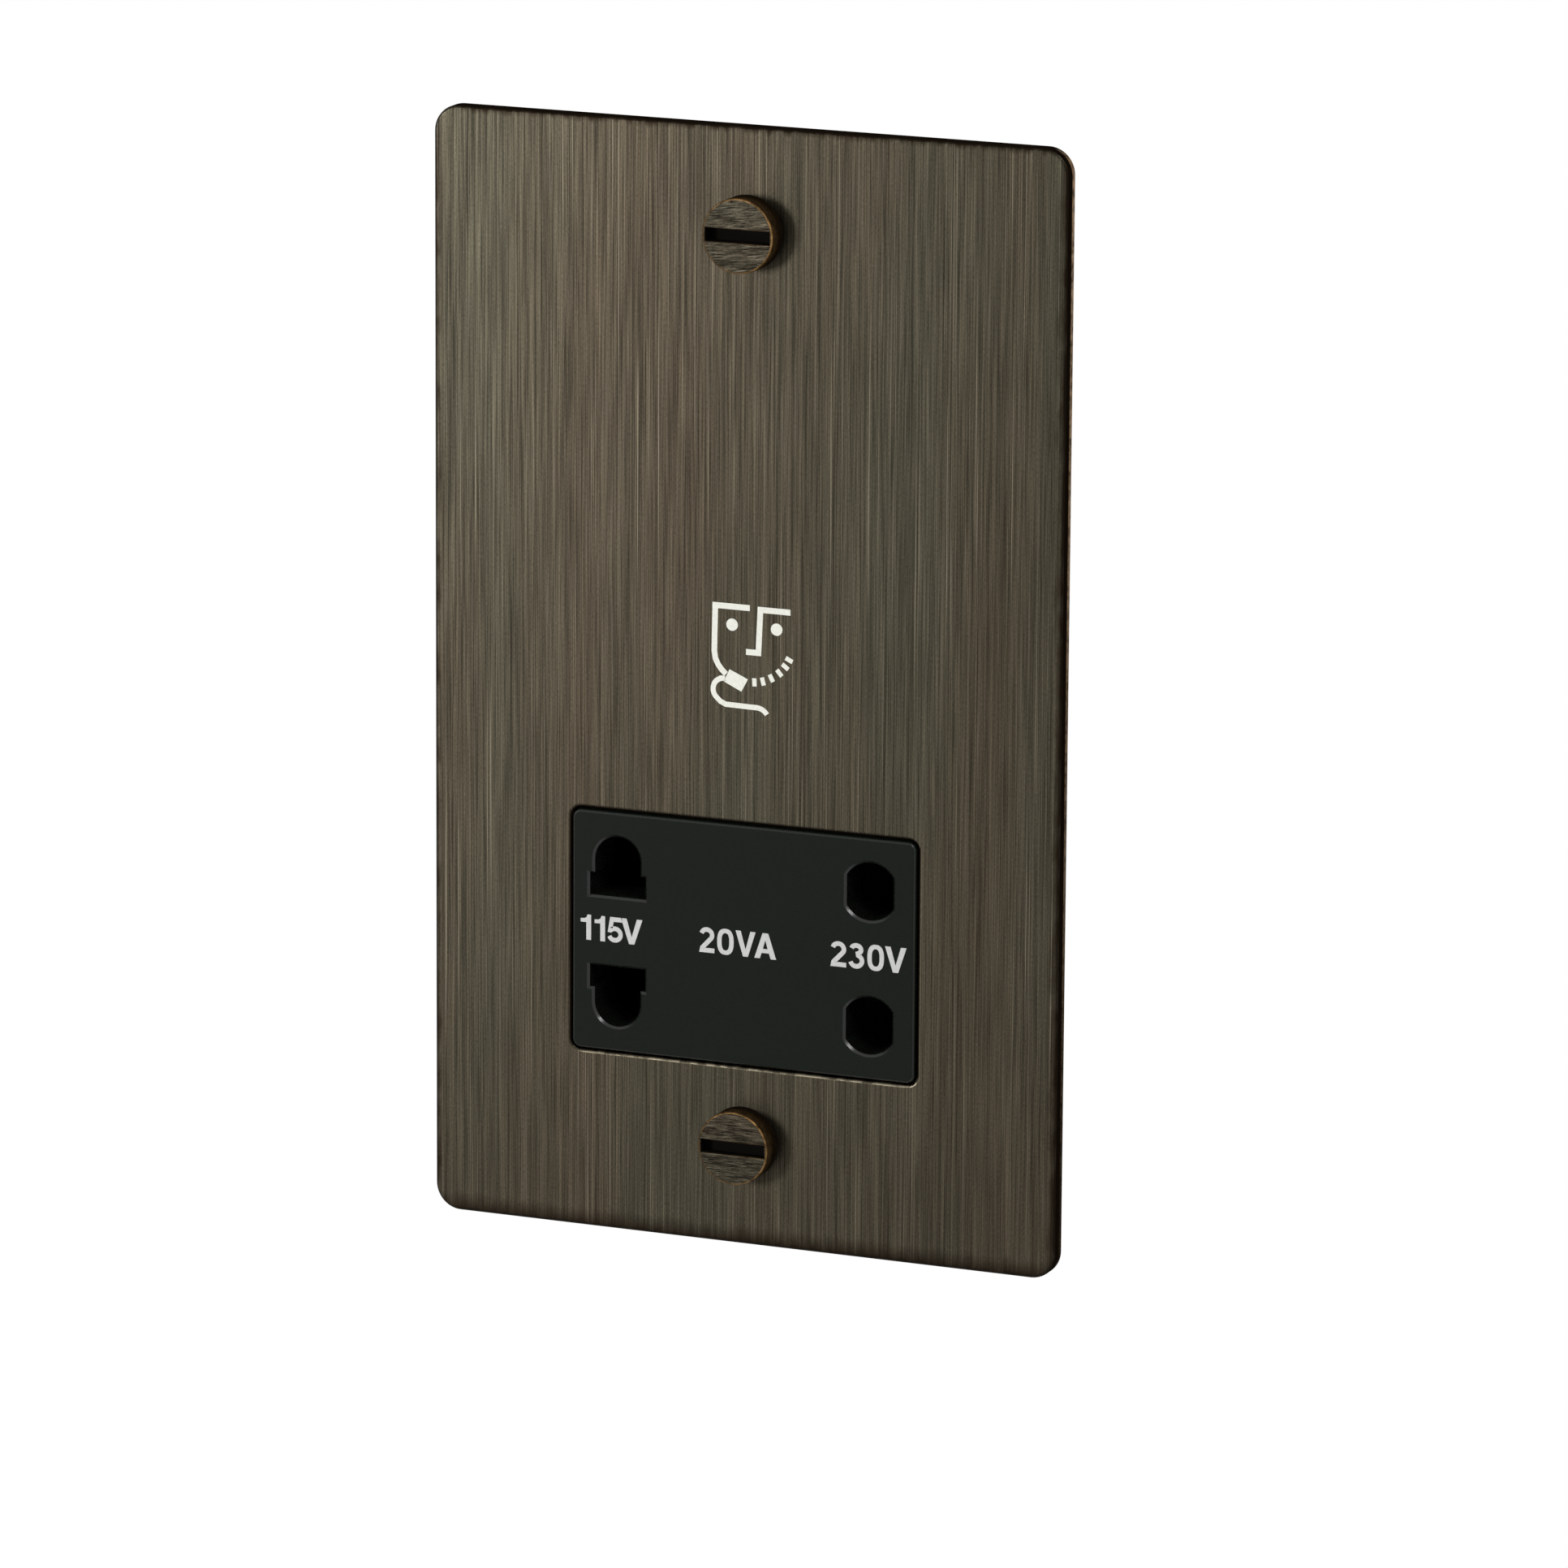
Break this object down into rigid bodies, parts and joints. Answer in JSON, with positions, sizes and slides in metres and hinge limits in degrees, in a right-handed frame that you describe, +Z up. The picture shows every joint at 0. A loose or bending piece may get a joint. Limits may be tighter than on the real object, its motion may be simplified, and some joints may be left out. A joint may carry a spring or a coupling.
{
  "type": "shaver socket",
  "caption": "Upright metal face plate with a black dual-voltage shaver outlet, slotted fixing screws and a rear housing that holds the transformer, shutter and terminals.",
  "frame": {"origin": "centre of the plate's rear rim, on the wall", "axes": "+X to the right and +Z up as seen from the front, +Y into the wall"},
  "size_m": [0.088, 0.0463, 0.148],
  "materials": {
    "bronze_plate": "brushed dark bronze",
    "bronze_screw": "brushed dark bronze with worn bright rims",
    "black_moulding": "satin moulded",
    "grey_moulding": "moulded",
    "shutter_moulding": "moulded",
    "spring_steel": "drawn wire",
    "contact_brass": "stamped",
    "core_iron": "varnished laminations",
    "zinc_steel": "zinc plated",
    "nylon_spool": "moulded",
    "tinned_brass": "tinned",
    "copper_wire": "enamelled wire",
    "yellow_tape": "polyester tape",
    "fuse_case": "moulded",
    "housing_moulding": "textured moulding",
    "brown_lead": "extruded sleeve",
    "blue_lead": "extruded sleeve",
    "black_lead": "extruded sleeve",
    "white_lead": "extruded sleeve",
    "grey_lead": "extruded sleeve",
    "earth_lead": "green and yellow sleeve"
  },
  "bodies": {
    "case": {"bobbin": "nylon_spool", "bobbin_tags": "tinned_brass", "bridge_lead": "grey_lead", "clamp_screws": "zinc_steel", "common_lead": "grey_lead", "contact_115_lower": "contact_brass", "contact_115_upper": "contact_brass", "contact_230_lower": "contact_brass", "contact_230_upper": "contact_brass", "contact_carrier": "grey_moulding", "core_clamp": "zinc_steel", "earth_lead": "earth_lead", "earth_tag": "tinned_brass", "earth_terminal": "contact_brass", "face_plate": "bronze_plate", "fixing_screws": "bronze_screw", "lead_115": "black_lead", "lead_230": "white_lead", "live_lead": "brown_lead", "live_terminal": "contact_brass", "neutral_lead": "blue_lead", "neutral_terminal": "contact_brass", "primary_tape": "yellow_tape", "primary_winding": "copper_wire", "rear_housing": "housing_moulding", "secondary_tape": "yellow_tape", "secondary_winding": "copper_wire", "shutter_spring_left": "spring_steel", "shutter_spring_right": "spring_steel", "socket_insert": "black_moulding", "stud_nuts": "zinc_steel", "stud_washers": "zinc_steel", "switch_contact": "contact_brass", "switch_leaf": "contact_brass", "switched_lead": "brown_lead", "terminal_block": "grey_moulding", "terminal_screws": "zinc_steel", "thermal_cutout": "fuse_case", "thermal_lead": "tinned_brass", "transformer_core": "core_iron"},
    "shutter": {"shutter_slider": "shutter_moulding"}
  },
  "joints": [
    {"name": "shutter_slide", "type": "slide", "parent": "case", "child": "shutter", "axis": [1, 0, 0], "range_m": [-0.0074, 0.0074], "stiffness_N_per_m": 120, "deforming": ["shutter_spring_left", "shutter_spring_right", "switch_leaf"]}
  ]
}
